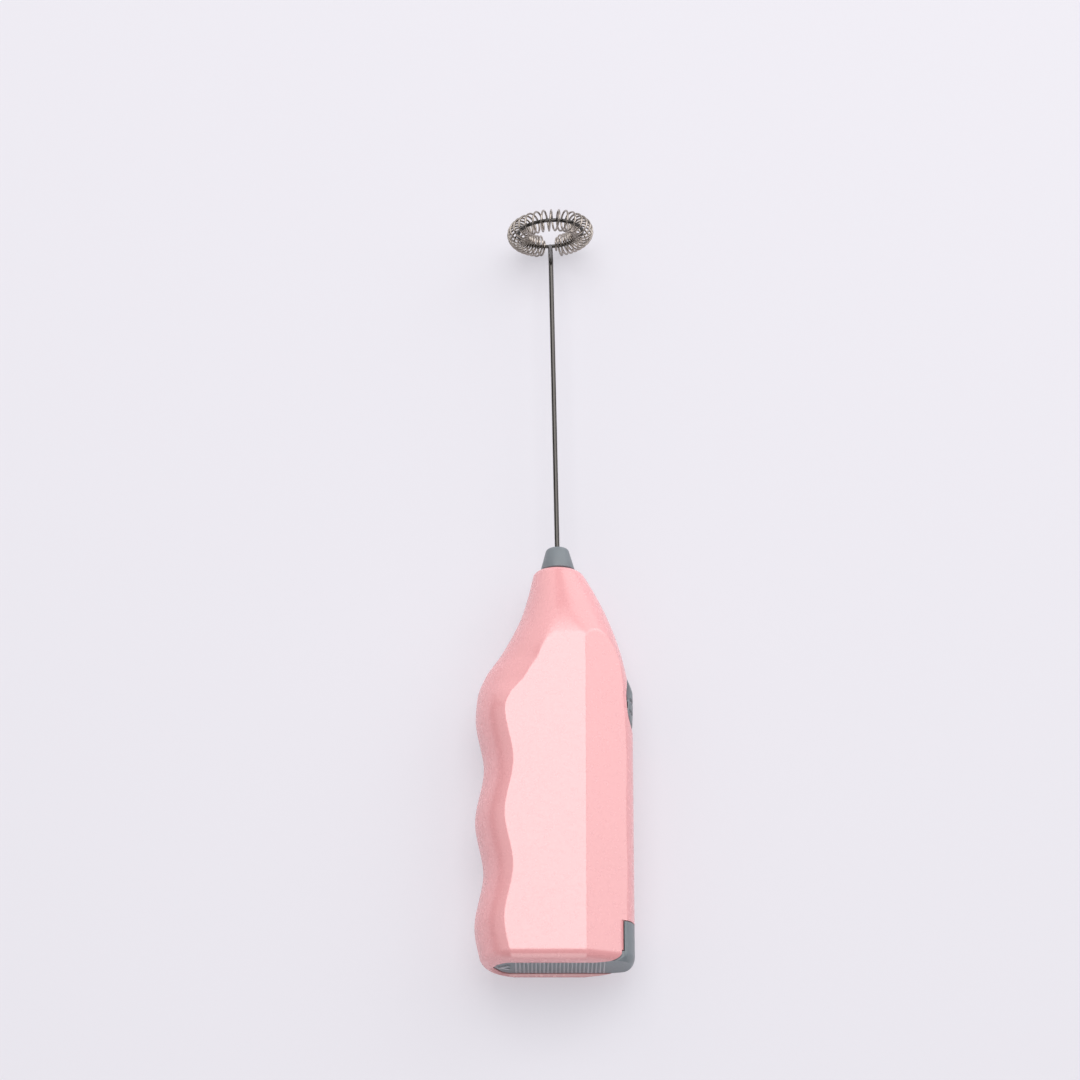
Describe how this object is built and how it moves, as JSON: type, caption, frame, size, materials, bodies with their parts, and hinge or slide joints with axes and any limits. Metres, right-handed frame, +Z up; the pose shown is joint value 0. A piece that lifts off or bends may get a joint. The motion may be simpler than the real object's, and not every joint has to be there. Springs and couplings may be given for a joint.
{
  "type": "milk frother",
  "caption": "Hand-held battery milk frother lying on its side: pink moulded handle with a finger-wave grip, grey thumb slider and battery door, steel whisk with a coiled ring.",
  "frame": {"origin": "middle of the footprint, on the surface that the flat side of the handle rests on", "axes": "+Y along the handle from the battery door to the whisk, +X to the thumb side, +Z up from the resting surface"},
  "size_m": [0.0404, 0.2042, 0.024],
  "materials": {
    "pink_shell": "moulded, soft gloss",
    "grey_plastic": "moulded, satin",
    "black_plastic": "moulded",
    "white_plastic": "moulded",
    "wire_steel": "polished wire",
    "motor_steel": "zinc plated",
    "nickel_contact": "nickel plated",
    "cell_wrap": "plain printed wrap, stands for the cell's mean density",
    "magnet": "sintered",
    "copper": "enamelled winding wire",
    "lamination": "stacked sheet",
    "lead_red": "insulated lead",
    "lead_black": "insulated lead"
  },
  "bodies": {
    "root": {"front_shell": "pink_shell", "back_shell": "pink_shell", "switch_base": "black_plastic", "switch_contact_battery": "nickel_contact", "switch_contact_motor": "nickel_contact", "terminal_bulkhead": "white_plastic", "battery_spring_negative": "nickel_contact", "battery_contact_positive": "nickel_contact", "aa_cell_1": "cell_wrap", "aa_cell_2": "cell_wrap", "motor_can": "motor_steel", "motor_end_cap": "white_plastic", "motor_terminals": "nickel_contact", "motor_magnets": "magnet", "motor_bush_front": "motor_steel", "motor_bush_rear": "motor_steel", "motor_brushes": "nickel_contact", "nose_bush": "white_plastic", "lead_positive": "lead_red", "lead_switch": "lead_red", "lead_negative": "lead_black"},
    "whisk": {"rotor_core": "lamination", "rotor_windings": "copper", "commutator": "copper", "motor_shaft": "motor_steel", "shaft_coupling": "black_plastic", "whisk_hub": "grey_plastic", "whisk_shaft": "wire_steel", "whisk_hoop": "wire_steel", "whisk_coil": "wire_steel"},
    "slider": {"switch_slider": "grey_plastic", "switch_bridge": "nickel_contact"},
    "door": {"battery_door": "grey_plastic", "door_contact_plate": "nickel_contact"}
  },
  "joints": [
    {"name": "whisk_spin", "type": "hinge", "parent": "root", "child": "whisk", "pos_m": [0.00088, 0.00245, 0.012], "axis": [-0.0192, 0.9998, 0], "continuous": true},
    {"name": "switch_slide", "type": "slide", "parent": "root", "child": "slider", "axis": [-0.1176, 0.9931, 0], "range_m": [0, 0.003]},
    {"name": "battery_door_slide", "type": "slide", "parent": "root", "child": "door", "axis": [1, 0, 0], "range_m": [0, 0.04]}
  ]
}
